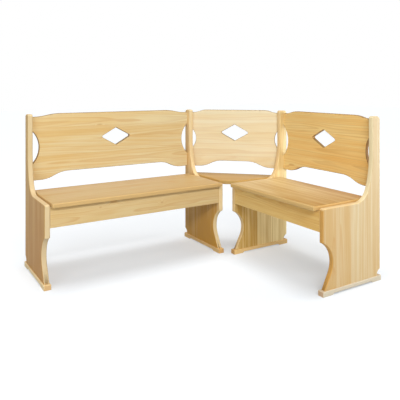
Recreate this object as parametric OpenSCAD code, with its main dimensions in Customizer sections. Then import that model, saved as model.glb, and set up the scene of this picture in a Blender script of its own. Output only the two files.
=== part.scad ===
// Corner bench in solid pine.
// A long bench and a short bench stand at a right angle, and a corner seat and a
// corner backrest, set diagonally, bridge the square between them.
// Millimetres, +Z up. The floor is Z = 0, the middle of the whole bench is X = Y = 0,
// the long bench runs along X with its back to +Y, and the short one has its back to +X.

/* [Layout] */
// Length of the long bench over its two end panels
long_length = 1135; // [900:5:1600]
// Length of the short bench over its two end panels
short_length = 805; // [680:5:1400]
// Side of the square corner that the two benches leave between them
corner_side = 482; // [460:2:560]
// Height of the posts and of the middle of the backrests
post_height = 910; // [880:5:960]
// Height of the seats' top face
seat_height = 460; // [440:5:480]

/* [End panels] */
// Thickness of the end panels
panel_thickness = 30; // [26:1:36]
// Depth of the end panels at seat level
panel_depth = 441; // [420:1:470]
// Depth of the post above the seat
post_depth = 64; // [60:1:72]
// How far the panels' level top edge lies below the seats' top face
panel_drop = 11; // [5:1:18]
// Radius of the rounding at the back of the post's top
post_back_radius = 22; // [10:1:28]
// Radius of the rounding at the front of the post's top
post_front_radius = 12; // [6:1:20]
// Height above the seat at which the post starts to sweep forward
sweep_rise = 230; // [215:5:270]
// Radius of the long upper arc of the sweep
sweep_radius = 520; // [440:10:580]
// Angle that the upper arc turns through before the tighter lower arc
sweep_turn = 20; // [16:1:23]
// Radius of the rounding at the panel's nose
nose_radius = 10; // [4:1:16]
// Radius of the hollow cut in the leg's front edge
leg_cut_radius = 118; // [105:1:130]
// How far behind the nose the hollow cut reaches
leg_cut_depth = 70; // [55:1:85]
// Height of the deepest point of the hollow cut
leg_cut_height = 165; // [155:1:175]
// Slope of the straight edge below the hollow cut, from upright
foot_slope = 28; // [20:1:32]
// Radius of the small cut at the foot of the back edge
heel_cut_radius = 34; // [24:1:44]
// How far that cut reaches in from the back edge
heel_cut_depth = 26; // [16:1:34]

/* [Runners] */
// Height of the runner under each end panel
runner_height = 28; // [20:1:36]
// How far a runner stands out at the front and on both sides
runner_margin = 4.5; // [2:0.5:8]
// How far a runner stands out at the back
runner_heel = 2; // [0:0.5:6]
// Length of the two pads that a runner stands on
pad_length = 70; // [50:1:100]
// Height of the relief between the two pads
relief_height = 8; // [4:1:12]

/* [Seats] */
// Thickness of the seat boards
seat_thickness = 25; // [20:1:30]
// How far the seats stand out over the panels' noses
seat_overhang = 37; // [20:1:50]
// Distance from the back line to the seats' back edge
seat_back_gap = 58; // [40:1:70]
// Gap between a seat's end and the panel next to it
seat_end_gap = 1.5; // [0.5:0.5:3]
// Radius of the seats' front corners, seen from above
seat_corner_radius = 8; // [4:1:14]
// Radius of the rounding along the seats' front edges
nosing_radius = 6; // [3:1:9]
// How far the corner seat's front edge lies behind the line between the two noses
corner_front_setback = 36; // [20:1:60]

/* [Backrests] */
// Thickness of the backrest boards
back_thickness = 24; // [20:1:26]
// How far the long and short backrests lie behind the posts' front edge
back_setback = 33; // [28:1:35]
// How far the corner backrest lies behind the posts' front edge, along the post
corner_back_setback = 19; // [16:1:22]
// Height of the backrests' ends above the seat
back_clearance = 50; // [30:1:60]
// Rise of the lower edge from the ends to the middle
arch_rise = 42; // [30:1:50]
// Distance from a backrest's end to the start of that rise
arch_start = 52; // [40:1:60]
// Length over which the lower edge rises
arch_run = 170; // [130:5:180]
// Drop of the upper edge from the middle to the ends
shoulder_drop = 18; // [10:1:26]
// Distance from a backrest's end to the start of the shoulder
shoulder_start = 10; // [5:1:20]
// Length of the long backrest's shoulders
long_shoulder_run = 165; // [100:5:200]
// Length of the short backrest's shoulders
short_shoulder_run = 125; // [80:5:160]
// Length of the corner backrest's shoulders
corner_shoulder_run = 95; // [70:5:140]
// Radius of the rounded notch in the ends of the long and short backrests
notch_radius = 140; // [120:5:170]
// Depth of that notch
notch_depth = 45; // [30:1:50]
// Radius of the rounded notch in the corner backrest's ends
corner_notch_radius = 90; // [70:5:110]
// Depth of that notch at the board's front face
corner_notch_depth = 30; // [20:1:36]
// Height of the notches' middle above the seat
notch_height = 248; // [235:1:260]
// Width of the diamond cut-out
diamond_width = 186; // [140:2:220]
// Height of the diamond cut-out
diamond_height = 110; // [80:2:130]
// Radius of the diamond's corners
diamond_radius = 8; // [4:1:14]
// Height of the diamond's middle above the seat
diamond_level = 291; // [270:1:305]

/* [Aprons and rails] */
// Height of the aprons under the seats' front edges
apron_height = 111; // [90:1:130]
// Thickness of the aprons
apron_thickness = 22; // [18:1:28]
// How far the aprons lie behind the panels' noses
apron_setback = 2; // [0:0.5:5]
// Height of the rails under the seats' back edges
rail_height = 70; // [60:1:90]
// Thickness of those rails
rail_thickness = 22; // [18:1:28]
// How far the rails lie in front of the seats' back edge
rail_setback = 4; // [0:1:12]

/* [Cleats] */
// Width and height of the cleats that carry the seats' ends
cleat_size = 25; // [20:1:30]
// Room between a cleat's ends and the apron and rail
cleat_end_gap = 10; // [4:1:20]
// Distance from the back line to the corner seat's cleats
corner_cleat_start = 40; // [35:1:50]
// Length of the corner seat's cleats
corner_cleat_length = 300; // [280:2:310]

/* [Dowels and screws] */
// Diameter of the dowels
dowel_diameter = 8; // [6:1:8]
// Length of the dowels
dowel_length = 35; // [30:1:37]
// Depth to which a dowel sits in the end panel
dowel_in_panel = 17; // [15:1:20]
// Distance of the outermost backrest dowels from the board's lower and upper edge
dowel_edge = 24; // [18:1:28]
// Distance between the two dowels of a backrest's pair
dowel_pitch = 40; // [30:1:44]
// How far the corner backrest's dowels lie behind the front edge of its ends
corner_dowel_inset = 6.5; // [6:0.5:8]
// Distance of the two dowels of an apron or rail from its lower and upper edge
rail_dowel_edge = 20; // [15:1:25]
// Shank diameter of the screws
screw_diameter = 4; // [3.5:0.5:5]
// Head diameter of the screws
head_diameter = 8; // [7:0.5:9]
// Height of the countersunk heads
head_height = 2.4; // [2:0.1:3]
// Length of the screws in the cleats and seats
screw_length = 40; // [35:1:43]
// Length of the screws that hold the runners
runner_screw_length = 50; // [40:1:60]
// Distance from a cleat's ends to its outer screws
cleat_screw_inset = 30; // [25:1:35]
// Distance from a runner's ends to its outer screws
runner_screw_inset = 105; // [104:1:120]
// Clearance around dowels and screws in their holes
hole_clearance = 0.1; // [0.05:0.05:0.2]

/* [Hidden] */
$fn = 96;

// Reach of a cutter past the face that it cuts
past = 5;
// Hair that is added to an arc's radius where it runs smoothly into another arc or a straight
// edge, so that the two cross in one clean edge
arc_lap = 0.01;

// Layout in the bench frame: X = 0 is the long bench's free end, Y = 0 its back line
back_line_x = long_length + corner_side;
near_end_y = -corner_side - short_length;
middle_x = (back_line_x + runner_heel - runner_margin) / 2;
middle_y = (near_end_y - runner_margin + runner_heel) / 2;

// Heights
seat_bottom = seat_height - seat_thickness;
panel_top = seat_height - panel_drop;
back_bottom = seat_height + back_clearance;
back_end_top = post_height - shoulder_drop;
apron_bottom = seat_bottom - apron_height;
rail_bottom = seat_bottom - rail_height;
cleat_bottom = seat_bottom - cleat_size;

// Depths in front of the back line
seat_front = panel_depth + seat_overhang;
apron_front = panel_depth - apron_setback;
apron_back = apron_front - apron_thickness;
rail_back = seat_back_gap + rail_setback;
rail_front = rail_back + rail_thickness;
back_front = post_depth - back_setback;
cleat_back = rail_front + cleat_end_gap;
cleat_front = apron_back - cleat_end_gap;
corner_back_front = post_depth - corner_back_setback;

// The sweep's lower arc meets the upper one smoothly and ends level with the panel's top
sweep_start = seat_height + sweep_rise;
sweep_lower_radius = (sweep_start - sweep_radius * sin(sweep_turn) - panel_top) / (1 - sin(sweep_turn));
sweep_upper_centre = [post_depth + sweep_radius, sweep_start];
sweep_lower_centre = sweep_upper_centre
    - (sweep_radius - sweep_lower_radius) * [cos(sweep_turn), sin(sweep_turn)];
sweep_join = sweep_upper_centre - sweep_radius * [cos(sweep_turn), sin(sweep_turn)];

// The hollow cut, its straight foot and the heel cut
leg_cut_centre = [panel_depth - leg_cut_depth + leg_cut_radius, leg_cut_height];
foot_top = leg_cut_centre - leg_cut_radius * [cos(foot_slope), sin(foot_slope)];
foot_toe = foot_top[0] + (foot_top[1] - runner_height) * tan(foot_slope);

// The corner's diagonal frame: X along the diagonal to the right, Y to the back
diagonal_half = (corner_side - corner_back_front) / sqrt(2);
corner_back_middle = [long_length + (corner_side - corner_back_front) / 2,
                      -(corner_side + corner_back_front) / 2];
corner_front_sum = long_length - panel_depth + corner_front_setback * sqrt(2);

// Heights of the four dowels in each end of a backrest
backrest_dowel_heights = [
    back_bottom + dowel_edge,
    back_bottom + dowel_edge + dowel_pitch,
    back_end_top - dowel_edge - dowel_pitch,
    back_end_top - dowel_edge
];

// Frames

// From the bench frame to the model's own frame
module centred() {
    translate([-middle_x, -middle_y, 0]) children();
}

// The short bench is drawn like the long one and turned into its place
module short_place() {
    translate([back_line_x, -corner_side, 0]) rotate([0, 0, -90]) children();
}

// Draws its children, made for the long bench's side of the corner, on both sides
module on_both_corner_sides() {
    children();
    on_short_side() children();
}

// Mirrors its children from the long bench's side of the corner to the short one's
module on_short_side() {
    translate([long_length, -corner_side, 0]) mirror([1, -1, 0])
        translate([-long_length, corner_side, 0]) children();
}

// Draws its children at both panels of a bench, with +X away from the panel's inner face
module at_inner_faces(length) {
    translate([panel_thickness, 0, 0]) children();
    translate([length - panel_thickness, 0, 0]) mirror([1, 0, 0]) children();
}

// Fasteners and their holes

// A dowel across the joint at X = 0, with its longer end on the +X side
module dowel(clearance = 0) {
    translate([-dowel_in_panel - clearance, 0, 0]) rotate([0, 90, 0])
        cylinder(d = dowel_diameter + 2 * clearance, h = dowel_length + 2 * clearance);
}

// A countersunk screw that points up, with the flat of its head at Z = 0
module screw(length, clearance = 0) {
    cylinder(d = screw_diameter + 2 * clearance, h = length + clearance);
    cylinder(d1 = head_diameter + 2 * clearance, d2 = screw_diameter + 2 * clearance, h = head_height);
}

// Four dowels at each end of a long or short backrest
module backrest_dowel_set(length, clearance = 0) {
    at_inner_faces(length)
        for (z = backrest_dowel_heights)
            translate([0, -back_front + back_thickness / 2, z]) dowel(clearance);
}

// Four dowels at each end of the corner backrest
module corner_dowel_set(clearance = 0) {
    on_both_corner_sides()
        for (z = backrest_dowel_heights)
            translate([long_length, -corner_back_front + corner_dowel_inset, z]) dowel(clearance);
}

// Two dowels at each end of a bench's apron and rear rail
module rail_dowel_set(length, clearance = 0) {
    at_inner_faces(length) {
        for (z = [apron_bottom + rail_dowel_edge, seat_bottom - rail_dowel_edge])
            translate([0, -apron_front + apron_thickness / 2, z]) dowel(clearance);
        for (z = [rail_bottom + rail_dowel_edge, seat_bottom - rail_dowel_edge])
            translate([0, -rail_front + rail_thickness / 2, z]) dowel(clearance);
    }
}

// Three screws that hold a cleat between two depths to the panel at X = 0
module cleat_screw_row(back, front, clearance = 0) {
    for (depth = [back + cleat_screw_inset, (back + front) / 2, front - cleat_screw_inset])
        translate([cleat_size, -depth, cleat_bottom + cleat_size / 2]) rotate([0, -90, 0])
            screw(screw_length, clearance);
}

// Two screws that hold the seat to a cleat, between the cleat's own screws
module seat_screw_row(back, front, clearance = 0) {
    quarter = (front - back - 2 * cleat_screw_inset) / 4;
    for (depth = [back + cleat_screw_inset + quarter, front - cleat_screw_inset - quarter])
        translate([cleat_size / 2, -depth, cleat_bottom]) screw(screw_length, clearance);
}

module cleat_screw_set(length, clearance = 0) {
    at_inner_faces(length) cleat_screw_row(cleat_back, cleat_front, clearance);
}

module seat_screw_set(length, clearance = 0) {
    at_inner_faces(length) seat_screw_row(cleat_back, cleat_front, clearance);
}

module corner_cleat_screw_set(clearance = 0) {
    on_both_corner_sides() translate([long_length, 0, 0])
        cleat_screw_row(corner_cleat_start, corner_cleat_start + corner_cleat_length, clearance);
}

module corner_seat_screw_set(clearance = 0) {
    on_both_corner_sides() translate([long_length, 0, 0])
        seat_screw_row(corner_cleat_start, corner_cleat_start + corner_cleat_length, clearance);
}

// Three screws up through each runner's relief into the panel
module runner_screw_set(length, clearance = 0) {
    for (x = [panel_thickness / 2, length - panel_thickness / 2])
        for (depth = [runner_screw_inset, panel_depth / 2, panel_depth - runner_screw_inset])
            translate([x, -depth, relief_height]) screw(runner_screw_length, clearance);
}

// Every hole that a bench's own fasteners need
module bench_holes(length) {
    backrest_dowel_set(length, hole_clearance);
    rail_dowel_set(length, hole_clearance);
    cleat_screw_set(length, hole_clearance);
    seat_screw_set(length, hole_clearance);
    runner_screw_set(length, hole_clearance);
}

// Every hole that the corner's fasteners need
module corner_holes() {
    corner_dowel_set(hole_clearance);
    corner_cleat_screw_set(hole_clearance);
    corner_seat_screw_set(hole_clearance);
}

// Outlines

// Rounds a corner at the origin whose sides run along +X and +Y
module corner_round(radius) {
    difference() {
        translate([-past, -past]) square(radius + past);
        translate([radius, radius]) circle(radius);
        translate([0, radius]) square([radius, past]);
        translate([radius, 0]) square([past, radius]);
    }
}

// Part of a panel's side in front of its post, where the post sweeps forward to the level top
module sweep_outline() {
    difference() {
        translate([0, panel_top]) square([sweep_lower_centre[0], sweep_start - panel_top]);
        translate(sweep_lower_centre) circle(sweep_lower_radius + 2 * arc_lap);
        // above the join the long upper arc bounds the sweep
        intersection() {
            translate([0, sweep_join[1]]) square([sweep_upper_centre[0], sweep_start]);
            translate(sweep_upper_centre) circle(sweep_radius + arc_lap, $fn = 360);
        }
    }
}

// Side of an end panel: X is the depth in front of the back line, Y the height
module panel_outline() {
    difference() {
        union() {
            translate([0, runner_height]) square([post_depth, post_height - runner_height]);
            translate([0, runner_height]) square([panel_depth, panel_top - runner_height]);
            sweep_outline();
        }
        translate([0, post_height]) mirror([0, 1]) corner_round(post_back_radius);
        translate([post_depth, post_height]) rotate(180) corner_round(post_front_radius);
        translate([panel_depth, panel_top]) rotate(180) corner_round(nose_radius);
        translate(leg_cut_centre) circle(leg_cut_radius + arc_lap);
        polygon([
            foot_top,
            [foot_toe, runner_height],
            [foot_toe, 0],
            [panel_depth + past, 0],
            [panel_depth + past, foot_top[1]]
        ]);
        translate([heel_cut_depth - heel_cut_radius, runner_height]) circle(heel_cut_radius);
    }
}

// Region under a smooth step that climbs by rise over run and then stays level
module under_step(run, rise, level) {
    radius = (run * run + rise * rise) / (4 * rise);
    difference() {
        translate([0, -past]) square([run / 2, past + rise / 2]);
        translate([0, radius]) circle(radius + arc_lap, $fn = 360);
    }
    intersection() {
        translate([run / 3, -past]) square([run, past + rise]);
        translate([run, rise - radius]) circle(radius + arc_lap, $fn = 360);
    }
    translate([run, -past]) square([level, past + rise]);
}

// Diamond with rounded corners, centred on the origin
module diamond_outline() {
    core_x = diamond_width / 2 - diamond_radius;
    core_y = diamond_height / 2 - diamond_radius;
    side = sqrt(core_x * core_x + core_y * core_y);
    push = diamond_radius * [core_y / side, core_x / side];
    corners = [[core_x, 0], [0, core_y], [-core_x, 0], [0, -core_y]];
    for (corner = corners)
        translate(corner) circle(diamond_radius + arc_lap);
    polygon([
        for (n = [0:3])
            let (signs = [[1, -1], [1, 1], [-1, 1], [-1, -1]])
            for (turn = [n, (n + 1) % 4])
                corners[n] + [push[0] * signs[turn][0], push[1] * signs[turn][1]]
    ]);
}

// Front of a backrest: X runs between its ends, Y is the height above the floor
module backrest_outline(half, shoulder, end_radius, end_depth) {
    difference() {
        translate([-half - back_thickness - past, back_bottom])
            square([2 * (half + back_thickness + past), post_height - back_bottom]);
        for (side = [0, 1]) mirror([side, 0]) {
            translate([-half + arch_start, back_bottom])
                under_step(arch_run, arch_rise, half - arch_start - arch_run + past);
            translate([-half + shoulder_start + shoulder, post_height]) mirror([1, 0])
                mirror([0, 1]) shoulder_cut(shoulder, shoulder_drop);
            translate([-half + end_depth - end_radius, seat_height + notch_height])
                circle(end_radius);
        }
        translate([0, seat_height + diamond_level]) diamond_outline();
    }
}

// Region over a shoulder: it starts level at the origin and deepens by drop over run
module shoulder_cut(run, drop) {
    under_step(run, drop, shoulder_start + back_thickness + 2 * past);
}

// Pieces of a bench of the given length, in the bench frame

module end_panel(length, position) {
    difference() {
        translate([position + panel_thickness, 0, 0]) rotate([90, 0, -90])
            linear_extrude(panel_thickness) panel_outline();
        bench_holes(length);
    }
}

module runner(length, position) {
    runner_length = panel_depth + runner_margin + runner_heel;
    difference() {
        translate([position - runner_margin, -panel_depth - runner_margin, 0])
            cube([panel_thickness + 2 * runner_margin, runner_length, runner_height]);
        // the relief's ends slope at 45 degrees
        translate([position - runner_margin - past, -panel_depth - runner_margin, 0])
            rotate([90, 0, 90]) linear_extrude(panel_thickness + 2 * (runner_margin + past))
                polygon([
                    [pad_length - past, -past],
                    [pad_length + relief_height, relief_height],
                    [runner_length - pad_length - relief_height, relief_height],
                    [runner_length - pad_length + past, -past]
                ]);
        bench_holes(length);
    }
}

// Board with rounded front corners and a rounded front edge
module seat_board(length) {
    width = length - 2 * (panel_thickness + seat_end_gap);
    depth = seat_front - seat_back_gap;
    difference() {
        translate([panel_thickness + seat_end_gap, -seat_front, seat_bottom]) intersection() {
            linear_extrude(seat_thickness) difference() {
                square([width, depth]);
                corner_round(seat_corner_radius);
                translate([width, 0]) mirror([1, 0]) corner_round(seat_corner_radius);
            }
            rotate([90, 0, 90]) linear_extrude(width) difference() {
                square([depth, seat_thickness]);
                corner_round(nosing_radius);
                translate([0, seat_thickness]) mirror([0, 1]) corner_round(nosing_radius);
            }
        }
        bench_holes(length);
    }
}

module straight_backrest(length, shoulder) {
    difference() {
        intersection() {
            translate([length / 2, back_thickness - back_front, 0]) rotate([90, 0, 0])
                linear_extrude(back_thickness)
                    backrest_outline(length / 2 - panel_thickness, shoulder, notch_radius, notch_depth);
            translate([panel_thickness, -post_depth, 0])
                cube([length - 2 * panel_thickness, post_depth, post_height]);
        }
        bench_holes(length);
    }
}

module apron(length) {
    difference() {
        translate([panel_thickness, -apron_front, apron_bottom])
            cube([length - 2 * panel_thickness, apron_thickness, apron_height]);
        bench_holes(length);
    }
}

module rear_rail(length) {
    difference() {
        translate([panel_thickness, -rail_front, rail_bottom])
            cube([length - 2 * panel_thickness, rail_thickness, rail_height]);
        bench_holes(length);
    }
}

module bench_cleat(length, position) {
    difference() {
        translate([position, -cleat_front, cleat_bottom])
            cube([cleat_size, cleat_front - cleat_back, cleat_size]);
        bench_holes(length);
    }
}

// Pieces of the corner, in the bench frame

// A board with square sides along both benches and its front and back edges diagonal
module corner_seat_board() {
    side_x = long_length + seat_end_gap;
    side_y = -corner_side + seat_end_gap;
    difference() {
        translate([0, 0, seat_bottom]) linear_extrude(seat_thickness) polygon([
            [side_x, -seat_end_gap],
            [side_x, corner_front_sum - side_x],
            [corner_front_sum - side_y, side_y],
            [long_length - side_y, side_y]
        ]);
        corner_holes();
    }
}

module diagonal_backrest() {
    difference() {
        intersection() {
            translate([corner_back_middle[0], corner_back_middle[1], 0]) rotate([0, 0, -45])
                translate([0, back_thickness, 0]) rotate([90, 0, 0]) linear_extrude(back_thickness)
                    backrest_outline(diagonal_half, corner_shoulder_run, corner_notch_radius,
                                     corner_notch_depth);
            // the ends are bevelled to lie flat against the two posts
            translate([long_length, -corner_side, 0]) cube([corner_side, corner_side, post_height]);
        }
        corner_holes();
    }
}

module corner_cleat() {
    difference() {
        translate([long_length, -corner_cleat_start - corner_cleat_length, cleat_bottom])
            cube([cleat_size, corner_cleat_length, cleat_size]);
        corner_holes();
    }
}

// Sub-parts

module long_outer_panel() {
    color("burlywood") centred() end_panel(long_length, 0);
}

module long_corner_panel() {
    color("burlywood") centred() difference() {
        end_panel(long_length, long_length - panel_thickness);
        corner_holes();
    }
}

module short_corner_panel() {
    color("burlywood") centred() difference() {
        short_place() end_panel(short_length, 0);
        corner_holes();
    }
}

module short_outer_panel() {
    color("burlywood") centred() short_place() end_panel(short_length, short_length - panel_thickness);
}

module long_outer_runner() {
    color("wheat") centred() runner(long_length, 0);
}

module long_corner_runner() {
    color("wheat") centred() runner(long_length, long_length - panel_thickness);
}

module short_corner_runner() {
    color("wheat") centred() short_place() runner(short_length, 0);
}

module short_outer_runner() {
    color("wheat") centred() short_place() runner(short_length, short_length - panel_thickness);
}

module long_seat() {
    color("navajowhite") centred() seat_board(long_length);
}

module short_seat() {
    color("navajowhite") centred() short_place() seat_board(short_length);
}

module corner_seat() {
    color("navajowhite") centred() corner_seat_board();
}

module long_backrest() {
    color("burlywood") centred() straight_backrest(long_length, long_shoulder_run);
}

module short_backrest() {
    color("burlywood") centred() short_place() straight_backrest(short_length, short_shoulder_run);
}

module corner_backrest() {
    color("wheat") centred() diagonal_backrest();
}

module long_apron() {
    color("burlywood") centred() apron(long_length);
}

module short_apron() {
    color("burlywood") centred() short_place() apron(short_length);
}

module long_rear_rail() {
    color("wheat") centred() rear_rail(long_length);
}

module short_rear_rail() {
    color("wheat") centred() short_place() rear_rail(short_length);
}

module long_outer_cleat() {
    color("wheat") centred() bench_cleat(long_length, panel_thickness);
}

module long_corner_cleat() {
    color("wheat") centred() bench_cleat(long_length, long_length - panel_thickness - cleat_size);
}

module short_corner_cleat() {
    color("wheat") centred() short_place() bench_cleat(short_length, panel_thickness);
}

module short_outer_cleat() {
    color("wheat") centred() short_place()
        bench_cleat(short_length, short_length - panel_thickness - cleat_size);
}

module corner_left_cleat() {
    color("wheat") centred() corner_cleat();
}

module corner_right_cleat() {
    color("wheat") centred() on_short_side() corner_cleat();
}

module backrest_dowels() {
    color("tan") centred() {
        backrest_dowel_set(long_length);
        short_place() backrest_dowel_set(short_length);
        corner_dowel_set();
    }
}

module rail_dowels() {
    color("tan") centred() {
        rail_dowel_set(long_length);
        short_place() rail_dowel_set(short_length);
    }
}

module cleat_screws() {
    color("silver") centred() {
        cleat_screw_set(long_length);
        short_place() cleat_screw_set(short_length);
        corner_cleat_screw_set();
    }
}

module seat_screws() {
    color("silver") centred() {
        seat_screw_set(long_length);
        short_place() seat_screw_set(short_length);
        corner_seat_screw_set();
    }
}

module runner_screws() {
    color("silver") centred() {
        runner_screw_set(long_length);
        short_place() runner_screw_set(short_length);
    }
}

long_outer_panel();
long_corner_panel();
short_corner_panel();
short_outer_panel();
long_outer_runner();
long_corner_runner();
short_corner_runner();
short_outer_runner();
long_seat();
short_seat();
corner_seat();
long_backrest();
short_backrest();
corner_backrest();
long_apron();
short_apron();
long_rear_rail();
short_rear_rail();
long_outer_cleat();
long_corner_cleat();
short_corner_cleat();
short_outer_cleat();
corner_left_cleat();
corner_right_cleat();
backrest_dowels();
rail_dowels();
cleat_screws();
seat_screws();
runner_screws();
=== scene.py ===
import math

import bmesh
import bpy
from mathutils import Matrix, Vector


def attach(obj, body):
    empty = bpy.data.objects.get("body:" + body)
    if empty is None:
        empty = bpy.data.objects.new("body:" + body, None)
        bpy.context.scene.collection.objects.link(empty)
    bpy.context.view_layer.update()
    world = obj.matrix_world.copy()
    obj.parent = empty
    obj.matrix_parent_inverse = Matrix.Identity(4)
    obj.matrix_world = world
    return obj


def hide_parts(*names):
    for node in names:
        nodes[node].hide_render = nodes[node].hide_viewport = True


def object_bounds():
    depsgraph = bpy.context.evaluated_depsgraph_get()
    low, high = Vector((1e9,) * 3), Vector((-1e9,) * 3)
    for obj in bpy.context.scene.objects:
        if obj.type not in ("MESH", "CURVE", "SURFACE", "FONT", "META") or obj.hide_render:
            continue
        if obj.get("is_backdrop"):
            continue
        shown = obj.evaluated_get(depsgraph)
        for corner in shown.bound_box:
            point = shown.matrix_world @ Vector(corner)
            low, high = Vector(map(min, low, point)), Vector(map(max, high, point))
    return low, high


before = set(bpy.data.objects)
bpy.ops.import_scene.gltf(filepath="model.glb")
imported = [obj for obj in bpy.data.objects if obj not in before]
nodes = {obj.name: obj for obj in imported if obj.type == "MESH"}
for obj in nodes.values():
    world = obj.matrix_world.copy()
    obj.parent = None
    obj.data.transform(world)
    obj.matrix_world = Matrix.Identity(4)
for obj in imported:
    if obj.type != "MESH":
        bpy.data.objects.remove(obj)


# End panels
# Each of the four panels is one 30 mm board glued up from upright pine lamellae and sawn to the
# outline of post, sweep, arm and leg. Its edges are run over with a rounding cutter, and it is
# sanded and given a thin satin lacquer. All sizes in this script are in metres.

def box(piece):
    """The lowest and the highest corner of an object."""
    return Vector(piece.bound_box[0]), Vector(piece.bound_box[6])


def linked(items, neighbours):
    """Sorts items into groups that hang together, where neighbours(item) gives those next to it."""
    left = dict.fromkeys(items)
    groups = []
    while left:
        first = next(iter(left))
        del left[first]
        group, front = [], [first]
        while front:
            item = front.pop()
            group.append(item)
            for near in neighbours(item):
                if near in left:
                    del left[near]
                    front.append(near)
        groups.append(group)
    return groups


SHARP = math.radians(30)
WIDEST_HOLE = 0.02


def edge_radii(mesh, rounding):
    """The radius for each sharp edge of a bmesh. Those that get one are shaded smooth. The others,
    and the rims of dowel and screw holes, stay crisp."""
    sharp = [edge for edge in mesh.edges if len(edge.link_faces) == 2 and edge.calc_face_angle() > SHARP]
    radii = {}
    for loop in linked(sharp, lambda edge: (near for vert in edge.verts for near in vert.link_edges)):
        points = [vert.co for edge in loop for vert in edge.verts]
        size = max(max(point[i] for point in points) - min(point[i] for point in points) for i in range(3))
        for edge in loop:
            edge.smooth = False
            if size > WIDEST_HOLE:
                radii[edge] = rounding(*(vert.co for vert in edge.verts))
                edge.smooth = radii[edge] > 0
    return radii


SAME_FACE = math.radians(0.1)
SAME_POINT, SAME_PLACE = 0.000001, 0.0001


def softened(node, rounding, segments=4, corners=()):
    """Copies a board of the frame, rounds the copy's edges and shows it instead of the node.
    rounding(a, b) is the radius for the edge between points a and b, 0 for a crisp one. corners
    are (x, y, radius) of upright edges that are first rounded in plan."""
    mesh = bmesh.new()
    mesh.from_mesh(nodes[node].data)
    bmesh.ops.remove_doubles(mesh, verts=mesh.verts, dist=SAME_POINT)
    bmesh.ops.dissolve_limit(mesh, angle_limit=SAME_FACE, verts=mesh.verts, edges=mesh.edges)
    for x, y, radius in corners:
        corner = Vector((x, y))
        upright = [edge for edge in mesh.edges
                   if all((vert.co.xy - corner).length < SAME_PLACE for vert in edge.verts)]
        bmesh.ops.bevel(mesh, geom=upright, offset=radius, segments=8, profile=0.5, affect="EDGES")

    weight = mesh.edges.layers.float.new("bevel_weight_edge")
    radii = edge_radii(mesh, rounding)
    widest = max(radii.values())
    for edge, radius in radii.items():
        edge[weight] = radius / widest
    for face in mesh.faces:
        face.smooth = True

    data = bpy.data.meshes.new(node + "_board")
    mesh.to_mesh(data)
    mesh.free()
    board = bpy.data.objects.new(node + "_board", data)
    bpy.context.scene.collection.objects.link(board)
    bevel = board.modifiers.new("rounded edges", "BEVEL")
    bevel.limit_method = "WEIGHT"
    bevel.width = widest
    bevel.segments = segments
    bevel.use_clamp_overlap = False
    bevel.loop_slide = False
    even = board.modifiers.new("flat faces stay flat", "WEIGHTED_NORMAL")
    even.keep_sharp = True
    even.weight = 90
    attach(board, "root")
    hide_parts(node)
    return board


PARALLEL = 0.99
PANEL_ROUNDING, EASED = 0.007, 0.0015


def panel_rounding(panel, thickness):
    """Rounds a panel's outline, eases it across its thickness, an axis from 0 to 2, and leaves the
    foot square, where it stands on its runner."""
    foot = box(nodes[panel])[0].z + 0.0005

    def rounding(a, b):
        if max(a.z, b.z) < foot:
            return 0
        return EASED if abs((b - a).normalized()[thickness]) > PARALLEL else PANEL_ROUNDING
    return rounding


def linear(hex_colour):
    """An sRGB hex colour as the linear RGBA that Blender's sockets take."""
    channels = [int(hex_colour[i:i + 2], 16) / 255 for i in (1, 3, 5)]
    return [c / 12.92 if c <= 0.04045 else ((c + 0.055) / 1.055) ** 2.4 for c in channels] + [1.0]


def empty_tree(owner):
    """The node tree of a material or of the world, with its first nodes taken out."""
    owner.use_nodes = True
    owner.node_tree.nodes.clear()
    return owner.node_tree


def add(tree, kind, sockets=None, **settings):
    """Adds one node. settings are its properties; sockets maps an input's name, or its place among
    the shown inputs, to a value, an output socket, or a node whose first shown output is meant."""
    node = tree.nodes.new(kind)
    for name, value in settings.items():
        setattr(node, name, value)
    shown = [socket for socket in node.inputs if socket.enabled]
    for key, value in (sockets or {}).items():
        target = shown[key] if isinstance(key, int) else next(s for s in shown if s.name == key)
        if isinstance(value, bpy.types.Node):
            value = next(socket for socket in value.outputs if socket.enabled)
        if isinstance(value, bpy.types.NodeSocket):
            tree.links.new(value, target)
        else:
            target.default_value = value
    return node


def patches(tree, place, sizes, offset=(0, 0, 0), detail=2.0, roughness=0.5):
    """Solid noise whose patches have the given sizes along the three axes of place. offset moves
    it to another part of the same noise."""
    scale = [1 / size for size in sizes]
    place = add(tree, "ShaderNodeMapping", {"Vector": place, "Location": offset, "Scale": scale})
    return add(tree, "ShaderNodeTexNoise", {"Vector": place, "Scale": 1.0, "Detail": detail,
                                            "Roughness": roughness})


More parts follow.
